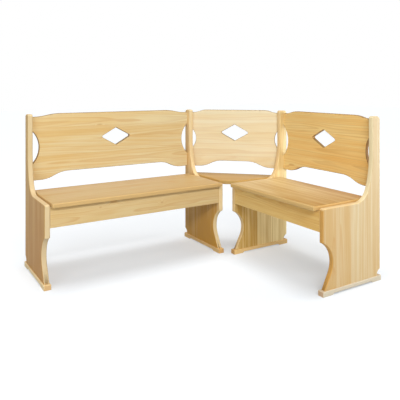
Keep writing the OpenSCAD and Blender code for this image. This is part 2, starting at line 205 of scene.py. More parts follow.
def lamellae(tree, grain, wide, lamella, seed, lanes):
    """The glued lamellae of a board that is wide metres across. Gives the place in each, 0 to 1, its
    own tone, 0 pale to 1 honey, and two chance values for how it was sawn."""
    width = add(tree, "ShaderNodeSeparateXYZ", {0: grain}).outputs["Y"]
    start = seed % 1 + 0.3
    lane = add(tree, "ShaderNodeMath", {0: width, 1: 1 / lamella, 2: start}, operation="MULTIPLY_ADD")
    number = add(tree, "ShaderNodeMath", {0: lane}, operation="FLOOR")
    number = add(tree, "ShaderNodeMath", {0: number, 1: seed}, operation="ADD")
    chance = add(tree, "ShaderNodeTexWhiteNoise", {"W": number}, noise_dimensions="1D")
    *sawn, tone = add(tree, "ShaderNodeSeparateColor", {0: chance.outputs["Color"]}).outputs
    if lanes:
        first = math.floor(start - wide / 2 / lamella)
        tone = add(tree, "ShaderNodeMapRange", {0: lane, 1: first, 2: first + len(lanes)})
        tone = add(tree, "ShaderNodeValToRGB", {0: tone})
        steps = tone.color_ramp
        steps.interpolation = "CONSTANT"
        steps.elements.remove(steps.elements[1])
        for i, value in enumerate(lanes):
            step = steps.elements[0] if i == 0 else steps.elements.new(i / len(lanes))
            step.color = (value, value, value, 1)
    return add(tree, "ShaderNodeMath", {0: lane}, operation="FRACT"), tone, sawn


NEAREST_PITH, DEEPEST_PITH, MOST_LEAN = 0.018, 0.078, 0.025
TRUNK_WAVE, TRUNK_WAVE_SIZE = 0.022, (0.625, 0.0909, 0.0909)


def from_pith(tree, grain, inside, sawn, lamella, seed):
    """The distance from the pith of the trunk that a lamella was sawn from. The pith lies 18 to
    78 mm under the board's middle, at most a quarter of a lamella to the side, and leans by up to
    25 mm in a metre, so that flat-sawn faces show arches."""
    run, width, depth = add(tree, "ShaderNodeSeparateXYZ", {0: grain}).outputs
    pith_across, pith_depth = sawn
    aside = add(tree, "ShaderNodeMath", {0: pith_across, 1: -1.5, 2: 0.25}, operation="MULTIPLY_ADD")
    aside = add(tree, "ShaderNodeMath", {0: inside, 1: aside}, operation="ADD")
    aside = add(tree, "ShaderNodeMath", {0: aside, 1: lamella}, operation="MULTIPLY")
    below = add(tree, "ShaderNodeMath", {0: pith_depth, 1: DEEPEST_PITH - NEAREST_PITH,
                                        2: NEAREST_PITH}, operation="MULTIPLY_ADD")
    below = add(tree, "ShaderNodeMath", {0: depth, 1: below}, operation="ADD")
    radius = add(tree, "ShaderNodeCombineXYZ", {0: aside, 1: below})
    radius = add(tree, "ShaderNodeVectorMath", {0: radius}, operation="LENGTH")
    lean = add(tree, "ShaderNodeMath", {0: pith_depth, 1: 2 * MOST_LEAN, 2: -MOST_LEAN},
               operation="MULTIPLY_ADD")
    radius = add(tree, "ShaderNodeMath", {0: run, 1: lean, 2: radius}, operation="MULTIPLY_ADD")
    # the trunk isn't quite straight: waves 625 mm long and 91 mm wide move the years by up to 22 mm
    wavy = patches(tree, grain, TRUNK_WAVE_SIZE, (seed, seed, 0))
    return add(tree, "ShaderNodeMath", {0: wavy, 1: TRUNK_WAVE, 2: radius}, operation="MULTIPLY_ADD")


def knotted(tree, grain, radius, knots):
    """Knots push the years aside, up to four times their own radius away, and each shows as a dark
    eye. Gives the new distance from the pith and how much of an eye there is."""
    eyes = 0.0
    for along, across, size, stretch in knots:
        away = add(tree, "ShaderNodeVectorMath", {0: grain, 1: (along, across, 0)}, operation="SUBTRACT")
        away = add(tree, "ShaderNodeVectorMath", {0: away, 1: (1 / stretch, 1, 0)}, operation="MULTIPLY")
        away = add(tree, "ShaderNodeVectorMath", {0: away}, operation="LENGTH")
        push = add(tree, "ShaderNodeMapRange", {0: away, 1: 0.0, 2: 4 * size, 3: 1.7 * size, 4: 0.0},
                   interpolation_type="SMOOTHSTEP")
        radius = add(tree, "ShaderNodeMath", {0: radius, 1: push}, operation="ADD")
        eye = add(tree, "ShaderNodeMapRange", {0: away, 1: 0.6 * size, 2: 1.3 * size, 3: 1.0, 4: 0.0},
                  interpolation_type="SMOOTHSTEP")
        eyes = add(tree, "ShaderNodeMath", {0: eye, 1: eyes}, operation="MAXIMUM")
    return radius, eyes


def late_wood(tree, radius, spacing):
    """The years: wide pale early wood that darkens to a thin line of late wood, 0 to 1, uneven in
    width and some stronger than others. They are 2 to 3 mm apart in such pine, and spacing is about
    twice that, so that they show."""
    years = add(tree, "ShaderNodeMath", {0: radius, 1: 1 / spacing}, operation="MULTIPLY")
    # a noise that changes over about five years shifts them by up to two
    uneven = add(tree, "ShaderNodeMath", {0: years, 1: 0.21}, operation="MULTIPLY")
    uneven = add(tree, "ShaderNodeTexNoise", {"W": uneven, "Scale": 1.0, "Detail": 1.0},
                 noise_dimensions="1D")
    years = add(tree, "ShaderNodeMath", {0: uneven, 1: 2.2, 2: years}, operation="MULTIPLY_ADD")
    year = add(tree, "ShaderNodeMath", {0: years}, operation="FLOOR")
    season = add(tree, "ShaderNodeMath", {0: years}, operation="FRACT")
    # early wood takes half a year's width, and late wood is darkest just before the next year begins
    season = add(tree, "ShaderNodeValToRGB", {0: season})
    stops = season.color_ramp.elements
    stops[0].color, stops[1].color = (0, 0, 0, 1), (0, 0, 0, 1)
    for position, value in ((0.5, 0.16), (0.82, 0.9), (0.92, 1.0)):
        stops.new(position).color = (value, value, value, 1)
    strength = add(tree, "ShaderNodeTexWhiteNoise", {"W": year}, noise_dimensions="1D")
    strength = add(tree, "ShaderNodeMath", {0: strength, 1: 0.6, 2: 0.4}, operation="MULTIPLY_ADD")
    return add(tree, "ShaderNodeMath", {0: season, 1: strength}, operation="MULTIPLY")


EDGE_COVER = 0.85


def rounded_edges(tree, place, colour, through, edge, painted_light_edge, crisp):
    """Gives the rounded edges a tone of their own: on most boards near the face's, on the backrests
    and the last panel's leg painted shade. painted_light_edge gives the edges beyond a distance
    another tone: painted shade on the seats' backs and a painted highlight on the last panel's top
    edges. through is the direction through the board's thickness, in which its flat faces look."""
    flat = add(tree, "ShaderNodeVectorMath", {0: place["Normal"], 1: through}, operation="DOT_PRODUCT")
    flat = add(tree, "ShaderNodeMath", {0: flat}, operation="ABSOLUTE")
    rim = add(tree, "ShaderNodeMapRange", {0: flat, 1: 1.0, 2: crisp, 3: 0.0, 4: EDGE_COVER},
              interpolation_type="SMOOTHSTEP")
    edge = linear(edge)
    if painted_light_edge:
        far, direction, distance = painted_light_edge
        beyond = add(tree, "ShaderNodeVectorMath", {0: place["Object"], 1: direction},
                     operation="DOT_PRODUCT")
        beyond = add(tree, "ShaderNodeMapRange", {0: beyond, 1: distance - 0.01, 2: distance + 0.01})
        edge = add(tree, "ShaderNodeMix", {"Factor": beyond, "A": edge, "B": linear(far)}, data_type="RGBA")
    return add(tree, "ShaderNodeMix", {"Factor": rim, "A": colour, "B": edge}, data_type="RGBA")


# length, width and depth of the patterns that every board has, and the width of a group of years
# and of a glue line
FIBRES = (0.25, 0.01053, 0.01053)
CLOUDS = (0.5556, 0.0769, 0.0769)
YEAR_GROUP = 0.01724
GLUE_LINE = 0.002


def pine(board, along, across, seed, pale, honey, edge, late="#c58a45", lamella=0.085, spacing=0.0042,
         years_show=0.42, lanes=(), glue=0.4, fade_with_painted_light=0.0, ends=0.2, painted_light_edge=None, crisp=0.6, knots=()):
    """Lacquered pine for one board: pale yellow to honey bands along the grain under a satin film.
    The pattern is solid, as in timber, so that a board's faces, edges and ends agree.
    along is the grain's direction and across the board's width, and seed picks the board's own
    pattern. pale and honey are the wood's two tones, edge its rounded edges', late the dark wood
    that ends each year, and years_show how much of it shows. lamella is how wide one lamella is,
    and spacing a year. lanes are tones given to the lamellae from one edge to the other, 0 pale to
    1 honey, and glue is how dark the lines between them are. fade_with_painted_light is how much
    paler the wood is drawn in each metre along the grain: painted shade low on the panels' legs,
    painted light on their posts and a painted sheen on some boards. ends is how much darker its end
    grain is. painted_light_edge is (tone, direction, distance) of the edges that lie further that
    way than the distance: painted shade on the seats' backs and a painted highlight on the last
    panel's top edges. crisp is how soon an edge's tone sets in. knots are (along, across, radius,
    stretch) from the middle."""
    along, across = along.normalized(), across.normalized()
    through = along.cross(across)
    low, high = box(board)
    material = bpy.data.materials.new(board.name.replace("_board", "") + " lacquered pine")
    tree = empty_tree(material)

    # metres along the grain, across the board and through its thickness
    place = add(tree, "ShaderNodeTexCoord").outputs
    turn = Matrix((along, across, through)).transposed().to_euler()
    grain = add(tree, "ShaderNodeMapping", {"Vector": place["Object"], "Location": (low + high) / 2,
                                            "Rotation": turn}, vector_type="TEXTURE")
    run = add(tree, "ShaderNodeSeparateXYZ", {0: grain}).outputs["X"]
    wide = abs((high - low).dot(across))
    inside, tone, sawn = lamellae(tree, grain, wide, lamella, seed, lanes)
    radius = from_pith(tree, grain, inside, sawn, lamella, seed)
    radius, eyes = knotted(tree, grain, radius, knots)
    season = late_wood(tree, radius, spacing)

    # groups of years that grew warmer or paler, about 17 mm wide, show from across a room
    group = add(tree, "ShaderNodeTexNoise", {"W": radius, "Scale": 1 / YEAR_GROUP, "Detail": 2.0},
                noise_dimensions="1D")
    # bundles of fibres run 250 mm along the grain and are 10 mm wide, with finer ones down to 1 mm
    # in them, as single fibres are too fine to show
    fibre = patches(tree, grain, FIBRES, (0, seed, seed), detail=4.0, roughness=0.6)
    # the tone changes slowly over a hand's width, 77 mm, and 556 mm along the grain
    cloud = patches(tree, grain, CLOUDS, (seed, 0, seed))

    # how far the wood is on from pale to honey; where lanes are given, a lamella's own tone counts
    # for more, and the rest starts paler
    warm, own = (-1.1, 0.8) if lanes else (-0.85, 0.3)
    for part, weight in ((group, 1.1), (fibre, 0.7), (cloud, 0.9), (run, -fade_with_painted_light), (tone, own)):
        warm = add(tree, "ShaderNodeMath", {0: part, 1: weight, 2: warm}, operation="MULTIPLY_ADD")
    warm.use_clamp = True
    colour = add(tree, "ShaderNodeMix", {"Factor": warm, "A": linear(pale), "B": linear(honey)},
                 data_type="RGBA")
    dark = add(tree, "ShaderNodeMath", {0: season, 1: years_show}, operation="MULTIPLY")
    colour = add(tree, "ShaderNodeMix", {"Factor": dark, "A": colour, "B": linear(late)}, data_type="RGBA")
    if knots:
        eyes = add(tree, "ShaderNodeMath", {0: eyes, 1: 0.35}, operation="MULTIPLY")
        colour = add(tree, "ShaderNodeMix", {"Factor": eyes, "A": colour, "B": linear("#b3732e")},
                     data_type="RGBA")

    # the glue line between two lamellae, drawn 2 mm wide so that it shows
    joint = add(tree, "ShaderNodeMath", {0: inside, 1: 0.5}, operation="SUBTRACT")
    joint = add(tree, "ShaderNodeMath", {0: joint}, operation="ABSOLUTE")
    joint = add(tree, "ShaderNodeMapRange", {0: joint, 1: 0.5 - GLUE_LINE / 2 / lamella, 2: 0.5, 3: 0.0,
                                             4: glue})
    colour = add(tree, "ShaderNodeMix", {"Factor": joint, "A": colour, "B": linear(late)}, data_type="RGBA")
    colour = rounded_edges(tree, place, colour, through, edge, painted_light_edge, crisp)

    # end grain drinks the lacquer, so it is darker and duller
    facing = add(tree, "ShaderNodeVectorMath", {0: place["Normal"], 1: along}, operation="DOT_PRODUCT")
    facing = add(tree, "ShaderNodeMath", {0: facing}, operation="ABSOLUTE")
    end = add(tree, "ShaderNodeMapRange", {0: facing, 1: 0.6, 2: 1.0, 3: 0.0, 4: ends},
              interpolation_type="SMOOTHSTEP")
    colour = add(tree, "ShaderNodeMix", {"Factor": end, "A": colour, "B": linear(late)}, data_type="RGBA")

    # satin lacquer follows the late wood and the fibres by less than a tenth of a millimetre
    rough = add(tree, "ShaderNodeMath", {0: fibre, 1: 0.16, 2: 0.36}, operation="MULTIPLY_ADD")
    rough = add(tree, "ShaderNodeMath", {0: end, 1: 0.3, 2: rough}, operation="MULTIPLY_ADD")
    height = add(tree, "ShaderNodeMath", {0: fibre, 1: 0.5, 2: season}, operation="MULTIPLY_ADD")
    bump = add(tree, "ShaderNodeBump", {"Strength": 0.35, "Distance": 0.00008, "Height": height})
    shader = add(tree, "ShaderNodeBsdfPrincipled", {"Base Color": colour, "Roughness": rough, "Normal": bump,
                                                    "Specular IOR Level": 0.15})
    add(tree, "ShaderNodeOutputMaterial", {"Surface": shader})
    board.data.materials.append(material)


UP, ALONG_LONG, ALONG_SHORT = Vector((0, 0, 1)), Vector((1, 0, 0)), Vector((0, 1, 0))
# the last panel's edge is honey, as painted shade, up to 3 mm under its level top, which lies 11 mm
# lower than the seat, and pale from there up its sweep, as a painted highlight
PAINTED_HIGHLIGHT_FROM = box(nodes["short_seat"])[1].z - 0.011 - 0.003

# a panel's fade_with_painted_light makes its leg honey and its post pale: painted shade on the legs under the
# seats and painted light on the posts above them
for name, thickness, across, seed, fade_with_painted_light, glue, pale, honey, edge, painted_light_edge, lanes in (
        # the long bench's outer panel has darker, browner tones than the others: painted shade on its outer
        # face
        ("long_outer_panel", 0, ALONG_SHORT, 3.97, 0.8, 0.4,
         "#d4b16c", "#bb842c", "#dfcaa0", None, (0.6, 0.8, 0.5, 0.3)),
        ("long_corner_panel", 0, ALONG_SHORT, 7.97, 1.1, 0.4,
         "#fae4b4", "#d29d44", "#efd9a9", None, (0.6, 0.65, 0.6, 0.45)),
        # the short corner panel's lanes run from honey at its front to pale at its rear: painted light and
        # shade, with its lamellae's own tones
        ("short_corner_panel", 1, ALONG_LONG, 12.05, 0.0, 0.4,
         "#ffedb4", "#b38c42", "#e9ca96", None, (0.85, 0.7, 0.4, 0.2, 0.05)),
        # the last panel's honey edges are painted shade, and its pale top edges a painted highlight
        ("short_outer_panel", 1, ALONG_LONG, 17.84, 0.4, 0.95,
         "#dcd0ad", "#cbaa74", "#ca964a", ("#e6d6ab", UP, PAINTED_HIGHLIGHT_FROM), (0.9, 0.6, 0.15, 0.35, 0.35))):
    pine(softened(name, panel_rounding(name, thickness)), UP, across, seed, pale, honey, edge,
         lamella=0.1175, lanes=lanes, glue=glue, fade_with_painted_light=fade_with_painted_light, ends=0.1, painted_light_edge=painted_light_edge)


# Runners
# A strip of pine 28 mm high is screwed up into the foot of each panel and carries it on two pads
# with a relief between them. Its long edges are rounded, and its sawn ends show dark end grain.
RUNNER_ROUNDING, PAD_ROUNDING = 0.004, 0.001
PAD_TOP = 0.009


def runner_rounding(a, b):
    """4 mm along the top and at the ends, 1 mm round the pads and the relief between them."""
    return PAD_ROUNDING if max(a.z, b.z) < PAD_TOP else RUNNER_ROUNDING


for name, along, across, seed, pale, honey in (
        ("long_outer_runner", ALONG_SHORT, ALONG_LONG, 38.3, "#f3daa8", "#e8c282"),
        ("long_corner_runner", ALONG_SHORT, ALONG_LONG, 39.3, "#f0c98a", "#e2b062"),
        ("short_corner_runner", ALONG_LONG, ALONG_SHORT, 40.3, "#debb7f", "#cfa059"),
        ("short_outer_runner", ALONG_LONG, ALONG_SHORT, 39.3, "#d0c5ae", "#c4b190")):
    pine(softened(name, runner_rounding), along, across, seed, pale, honey, pale, ends=0.5)


# Seats
# Each seat is a 25 mm board glued up from lamellae along its length, with its edges rounded to
# sit on, and on the two long ones the front corners too. It lies on cleats and is screwed from
# below. The edges along its back, under the backrests, are drawn browner as painted shade.
SEAT_ROUNDING, CORNER_SEAT_ROUNDING = 0.006, 0.005
DIAGONAL, SQUARE_TO_IT = Vector((1, -1, 0)), Vector((1, 1, 0))

low, high = box(nodes["long_seat"])
corners = (low.x, low.y, 0.024), (high.x, low.y, 0.012)
# the long seat's edges within 87 mm of its back are drawn browner: painted shade under the backrest
pine(softened("long_seat", lambda a, b: SEAT_ROUNDING, corners=corners),
     ALONG_LONG, ALONG_SHORT, 31.7, "#cdba8f", "#c2a16a", "#cfab70", years_show=0.5, spacing=0.005,
     painted_light_edge=("#957443", ALONG_SHORT, high.y - 0.087))

low, high = box(nodes["short_seat"])
corners = (low.x, low.y, 0.030), (low.x, high.y, 0.012)
# fade_with_painted_light draws the short seat paler towards the corner, a painted sheen; its back edges get
# painted shade
pine(softened("short_seat", lambda a, b: SEAT_ROUNDING, corners=corners),
     ALONG_SHORT, ALONG_LONG, 36.2, "#dcc795", "#ac813f", "#d2ae70", fade_with_painted_light=0.8, years_show=0.42,
     spacing=0.0055, painted_light_edge=("#8f6c36", ALONG_LONG, high.x - 0.052))

pine(softened("corner_seat", lambda a, b: CORNER_SEAT_ROUNDING),
     DIAGONAL, SQUARE_TO_IT, 42.9, "#c5a668", "#b88f49", "#c3a162")


# Backrests
# A 24 mm board for each bench and one across the corner, all cut to one pattern: shoulders above,
# an arch below, a round notch beside each post and a diamond in the middle. Every cut edge is
# rounded and drawn dark brown as painted shade on the cut faces, and dowels hold the ends between the posts.
BACKREST_ROUNDING = 0.004


def backrest_rounding(thickness, *ends):
    """Rounds the outline and the cut-outs. Across the thickness and in the end planes, each (axis,
    position), the board is only eased, so that it sits close to its posts."""
    def rounding(a, b):
        across = abs((b - a).normalized().dot(thickness)) > PARALLEL
        on_end = any(abs(a[axis] - at) < SAME_PLACE and abs(b[axis] - at) < SAME_PLACE for axis, at in ends)
        return EASED if across or on_end else BACKREST_ROUNDING
    return rounding


low, high = box(nodes["long_backrest"])
# fade_with_painted_light draws the long backrest paler towards its right end: a painted sheen
pine(softened("long_backrest", backrest_rounding(ALONG_SHORT, (0, low.x), (0, high.x))),
     ALONG_LONG, UP, 51.35, "#ebe0b7", "#dfbe7f", "#8d6c3b", fade_with_painted_light=0.3, years_show=0.34, spacing=0.006,
     crisp=0.85, knots=((-0.113, 0.121, 0.004, 5),))

low, high = box(nodes["short_backrest"])
pine(softened("short_backrest", backrest_rounding(ALONG_LONG, (1, low.y), (1, high.y))),
     ALONG_SHORT, UP, 58.8, "#f7e3a4", "#eebf70", "#8a6535", late="#c0853a", fade_with_painted_light=0.3, years_show=0.4,
     spacing=0.0065, crisp=0.85, knots=((0.29, -0.16, 0.007, 4), (0.22, -0.17, 0.005, 5)))

low, high = box(nodes["corner_backrest"])
pine(softened("corner_backrest", backrest_rounding(SQUARE_TO_IT.normalized(), (0, low.x), (1, low.y))),
     DIAGONAL, UP, 63.15, "#f6efd4", "#edd7a8", "#967b4d", years_show=0.15, spacing=0.006,
     crisp=0.85)


# Aprons
# A pine board on edge under the front of each long seat stiffens it between its two panels. It
# is dowelled into them and only eased along its edges.
APRON_ROUNDING = 0.002

pine(softened("long_apron", lambda a, b: APRON_ROUNDING), ALONG_LONG, UP, 71.4,
     "#e2d0a1", "#d7b579", "#e5d2a5", fade_with_painted_light=0.25,
     knots=((-0.18, 0.045, 0.012, 1.8), (-0.26, 0.02, 0.005, 1.6), (0.126, 0.0, 0.006, 1.6)))
# fade_with_painted_light draws the short apron paler towards the corner: painted light where the corner's
# shade falls
pine(softened("short_apron", lambda a, b: APRON_ROUNDING), ALONG_SHORT, UP, 76.9,
     "#fbe39c", "#dcae60", "#f3d692", fade_with_painted_light=0.5)


# Rails and cleats
# Planed pine strips that stay out of sight: a rail is dowelled in under the back of each seat, and
# the cleats that carry the seats' ends are screwed to the panels.
for name, along, seed in (
        ("long_rear_rail", ALONG_LONG, 94.3), ("short_rear_rail", ALONG_SHORT, 95.3),
        ("long_outer_cleat", ALONG_SHORT, 96.3), ("long_corner_cleat", ALONG_SHORT, 97.3),
        ("short_corner_cleat", ALONG_LONG, 98.3), ("short_outer_cleat", ALONG_LONG, 97.3),
        ("corner_left_cleat", ALONG_SHORT, 97.3), ("corner_right_cleat", ALONG_LONG, 98.3)):
    pine(softened(name, lambda a, b: EASED, segments=2), along, UP, seed,
         "#ecd7ac", "#deba7e", "#ecd7ac")


# Dowels
# Fluted beech dowels, 8 by 35 mm with chamfered ends, are glued half into the end of a backrest,
# apron or rail and half into the post or panel beside it. Nothing of them shows once it is together.

def ends_of(points):
    """The middles of the two ends of a long part, the wider end first."""
    low, high = (Vector([pick(point[i] for point in points) for i in range(3)]) for pick in (min, max))
    axis = max(range(3), key=lambda i: high[i] - low[i])
    ends = [(low + high) / 2, (low + high) / 2]
    ends[0][axis], ends[1][axis] = low[axis], high[axis]
    width = [max((point - end).length for point in points if abs(point[axis] - end[axis]) < SAME_PLACE)
             for end in ends]
    if width[1] > width[0] + SAME_PLACE:
        ends.reverse()
    return ends


def fasteners(node, slot, tree, **sizes):
    """Shows, instead of the loose parts of a node, one fastener for each as the tree makes it. It
    starts from the part's wider end and points to its other end."""
    mesh = bmesh.new()
    mesh.from_mesh(nodes[node].data)
    bmesh.ops.remove_doubles(mesh, verts=mesh.verts, dist=SAME_POINT)
    starts, directions = [], []
    for part in linked(mesh.verts, lambda vert: (edge.other_vert(vert) for edge in vert.link_edges)):
        start, end = ends_of([vert.co for vert in part])
        starts.append(start)
        directions.extend((end - start).normalized())
    mesh.free()

    data = bpy.data.meshes.new(node + "_dressed")
    data.from_pydata(starts, [], [])
    data.attributes.new("direction", "FLOAT_VECTOR", "POINT").data.foreach_set("vector", directions)
    piece = bpy.data.objects.new(node + "_dressed", data)
    bpy.context.scene.collection.objects.link(piece)
    modifier = piece.modifiers.new("fasteners", "NODES")
    modifier.node_group = tree
    for item in tree.interface.items_tree:
        if item.in_out == "INPUT" and item.name in sizes:
            modifier[item.identifier] = sizes[item.name]
    evaluated = piece.evaluated_get(bpy.context.evaluated_depsgraph_get())
    piece_mesh = bpy.data.meshes.new_from_object(evaluated)
    piece.modifiers.remove(modifier)
    piece.data = piece_mesh
    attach(piece, "root")
    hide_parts(node)


def new_tree(name, **defaults):
    """A Geometry Nodes tree with a size input for each of the defaults, and its input node."""
    tree = bpy.data.node_groups.new(name, "GeometryNodeTree")
    tree.interface.new_socket("Geometry", in_out="INPUT", socket_type="NodeSocketGeometry")
    tree.interface.new_socket("Geometry", in_out="OUTPUT", socket_type="NodeSocketGeometry")
    for label, value in defaults.items():
        kind = "NodeSocketInt" if isinstance(value, int) else "NodeSocketFloat"
        tree.interface.new_socket(label, in_out="INPUT", socket_type=kind).default_value = value
    return tree, add(tree, "NodeGroupInput").outputs


def set_out(tree, size, shape, material):
    """The end of a fastener's tree: one copy of shape at each point, along the point's direction,
    with its own place and a chance value stored on it for the material."""
    place = add(tree, "GeometryNodeInputPosition")
    shape = add(tree, "GeometryNodeStoreNamedAttribute", {"Geometry": shape, "Name": "own_place",
                                                          "Value": place},
                data_type="FLOAT_VECTOR", domain="POINT")
    chance = add(tree, "FunctionNodeRandomValue", {"Min": 0.0, "Max": 1.0, "Seed": size["Seed"]},
                 data_type="FLOAT")
    points = add(tree, "GeometryNodeStoreNamedAttribute", {"Geometry": size["Geometry"], "Name": "chance",
                                                           "Value": chance},
                 data_type="FLOAT", domain="POINT")
    direction = add(tree, "GeometryNodeInputNamedAttribute", {"Name": "direction"}, data_type="FLOAT_VECTOR")
    turned = add(tree, "FunctionNodeAlignRotationToVector", {"Vector": direction}, axis="Z")
    copies = add(tree, "GeometryNodeInstanceOnPoints", {"Points": points, "Instance": shape,
                                                        "Rotation": turned})
    copies = add(tree, "GeometryNodeRealizeInstances", {"Geometry": copies})
    copies = add(tree, "GeometryNodeSetMaterial", {"Geometry": copies, "Material": material})
    add(tree, "NodeGroupOutput", {"Geometry": copies})


def moved_by_chance(tree, own):
    """A fastener's own place moved by its chance value, so that no two have the same pattern."""
    furthest = 0.7
    chance = add(tree, "ShaderNodeAttribute", attribute_name="chance").outputs["Fac"]
    shift = add(tree, "ShaderNodeVectorMath", {0: chance, "Scale": furthest}, operation="SCALE")
    return add(tree, "ShaderNodeVectorMath", {0: own, 1: shift}, operation="ADD")


# steamed beech: an even pinkish brown with short dark ray flecks, bare wood and so quite matt
beech = bpy.data.materials.new("steamed beech")
tree = empty_tree(beech)
own = add(tree, "ShaderNodeAttribute", attribute_name="own_place").outputs["Vector"]
moved = moved_by_chance(tree, own)
# rays 0.3 mm wide and 1.4 mm long, drawn twice as large so that they show
RAYS = (0.000625, 0.000625, 0.002857)
rays = patches(tree, moved, RAYS, detail=1.0)
flecks = add(tree, "ShaderNodeMapRange", {0: rays, 1: 0.58, 2: 0.68, 3: 0.0, 4: 0.55})
# the wood's tone changes over 3.6 mm, and 50 mm along the grain
BEECH_TONES = (0.003571, 0.003571, 0.05)
tone = patches(tree, moved, BEECH_TONES, detail=3.0)
colour = add(tree, "ShaderNodeMix", {"Factor": tone, "A": linear("#dcb993"), "B": linear("#c79f76")},
             data_type="RGBA")
colour = add(tree, "ShaderNodeMix", {"Factor": flecks, "A": colour, "B": linear("#96673f")}, data_type="RGBA")
rough = add(tree, "ShaderNodeMath", {0: tone, 1: 0.2, 2: 0.6}, operation="MULTIPLY_ADD")
bump = add(tree, "ShaderNodeBump", {"Strength": 0.4, "Distance": 0.00005, "Height": rays})
shader = add(tree, "ShaderNodeBsdfPrincipled", {"Base Color": colour, "Roughness": rough, "Normal": bump})
add(tree, "ShaderNodeOutputMaterial", {"Surface": shader})

dowel, size = new_tree("fluted dowel", Diameter=0.008, Length=0.035, Chamfer=0.0012, Groove=0.0003, Seed=5)
radius = add(dowel, "ShaderNodeMath", {0: size["Diameter"], 1: 0.5}, operation="MULTIPLY")
# four rings of 40 points: the outer two are the ends, the inner two move out to the chamfers
GROOVES = 10
rod = add(dowel, "GeometryNodeMeshCylinder", {"Vertices": 4 * GROOVES, "Side Segments": 3, "Radius": radius,
                                              "Depth": size["Length"]})
place = add(dowel, "GeometryNodeInputPosition")
x, y, z = add(dowel, "ShaderNodeSeparateXYZ", {0: place}).outputs
half = add(dowel, "ShaderNodeMath", {0: size["Length"], 1: 0.5}, operation="MULTIPLY")
beyond = add(dowel, "ShaderNodeMath", {0: z}, operation="ABSOLUTE")
between = add(dowel, "ShaderNodeMath", {0: half, 1: 0.6}, operation="MULTIPLY")
outer = add(dowel, "ShaderNodeMath", {0: beyond, 1: between}, operation="GREATER_THAN")
chamfer_height = add(dowel, "ShaderNodeMath", {0: half, 1: size["Chamfer"]}, operation="SUBTRACT")
height = add(dowel, "ShaderNodeMix", {"Factor": outer, "A": chamfer_height, "B": half}, data_type="FLOAT")
side = add(dowel, "ShaderNodeMath", {0: z}, operation="SIGN")
height = add(dowel, "ShaderNodeMath", {0: height, 1: side, 2: half}, operation="MULTIPLY_ADD")
# every fourth point of a ring lies in one of the ten glue grooves, and the ends are drawn in by
# six tenths of the chamfer's height
turn = add(dowel, "ShaderNodeMath", {0: y, 1: x}, operation="ARCTAN2")
wave = add(dowel, "ShaderNodeMath", {0: turn, 1: GROOVES}, operation="MULTIPLY")
wave = add(dowel, "ShaderNodeMath", {0: wave}, operation="COSINE")
wave = add(dowel, "ShaderNodeMath", {0: wave, 1: 0.5}, operation="GREATER_THAN")
depth = add(dowel, "ShaderNodeMath", {0: wave, 1: size["Groove"]}, operation="MULTIPLY")
drawn = add(dowel, "ShaderNodeMath", {0: outer, 1: size["Chamfer"]}, operation="MULTIPLY")
depth = add(dowel, "ShaderNodeMath", {0: drawn, 1: 0.6, 2: depth}, operation="MULTIPLY_ADD")
factor = add(dowel, "ShaderNodeMath", {0: radius, 1: depth}, operation="SUBTRACT")
factor = add(dowel, "ShaderNodeMath", {0: factor, 1: radius}, operation="DIVIDE")
x = add(dowel, "ShaderNodeMath", {0: x, 1: factor}, operation="MULTIPLY")
y = add(dowel, "ShaderNodeMath", {0: y, 1: factor}, operation="MULTIPLY")
place = add(dowel, "ShaderNodeCombineXYZ", {0: x, 1: y, 2: height})
rod = add(dowel, "GeometryNodeSetPosition", {"Geometry": rod.outputs["Mesh"], "Position": place})
rod = add(dowel, "GeometryNodeSetShadeSmooth", {"Geometry": rod, "Shade Smooth": False})
set_out(dowel, size, rod, beech)

fasteners("backrest_dowels", "dowel_beech", dowel, Seed=5)
fasteners("rail_dowels", "dowel_beech", dowel, Seed=8)


# Screws
# Zinc-plated chipboard screws, 4 mm thick with countersunk heads and a cross recess, are driven
# through the cleats into the panels and seats, and up through the runners into the panels.

# zinc plate over steel: a bright grey metal with a faint mottle, duller where the bit has rubbed
zinc = bpy.data.materials.new("zinc-plated steel")
tree = empty_tree(zinc)
own = add(tree, "ShaderNodeAttribute", attribute_name="own_place").outputs["Vector"]
moved = moved_by_chance(tree, own)
# clouds in the plate and rubbing marks, drawn about 1.1 mm across so that they show
MOTTLE = (0.001111, 0.001111, 0.001111)
mottle = patches(tree, moved, MOTTLE, detail=4.0, roughness=0.65)
# the bit rubs the recess: all of it to 1.5 mm from the axis, none from 2.4 mm or 2 mm down
x, y, z = add(tree, "ShaderNodeSeparateXYZ", {0: own}).outputs
away = add(tree, "ShaderNodeCombineXYZ", {0: x, 1: y})
away = add(tree, "ShaderNodeVectorMath", {0: away}, operation="LENGTH")
recess = add(tree, "ShaderNodeMapRange", {0: away, 1: 0.0015, 2: 0.0024, 3: 1.0, 4: 0.0})
top = add(tree, "ShaderNodeMapRange", {0: z, 1: 0.0, 2: 0.002, 3: 1.0, 4: 0.0})
worn = add(tree, "ShaderNodeMath", {0: recess, 1: top}, operation="MULTIPLY")
colour = add(tree, "ShaderNodeMix", {"Factor": mottle, "A": linear("#c3c6c7"), "B": linear("#979da5")},
             data_type="RGBA")
colour = add(tree, "ShaderNodeMix", {"Factor": worn, "A": colour, "B": linear("#6f7174")}, data_type="RGBA")
rough = add(tree, "ShaderNodeMath", {0: mottle, 1: 0.25, 2: 0.24}, operation="MULTIPLY_ADD")
rough = add(tree, "ShaderNodeMath", {0: worn, 1: 0.2, 2: rough}, operation="MULTIPLY_ADD")
bump = add(tree, "ShaderNodeBump", {"Strength": 0.25, "Distance": 0.00003, "Height": mottle})
shader = add(tree, "ShaderNodeBsdfPrincipled", {"Base Color": colour, "Metallic": 1.0, "Roughness": rough,
                                                "Normal": bump})
add(tree, "ShaderNodeOutputMaterial", {"Surface": shader})

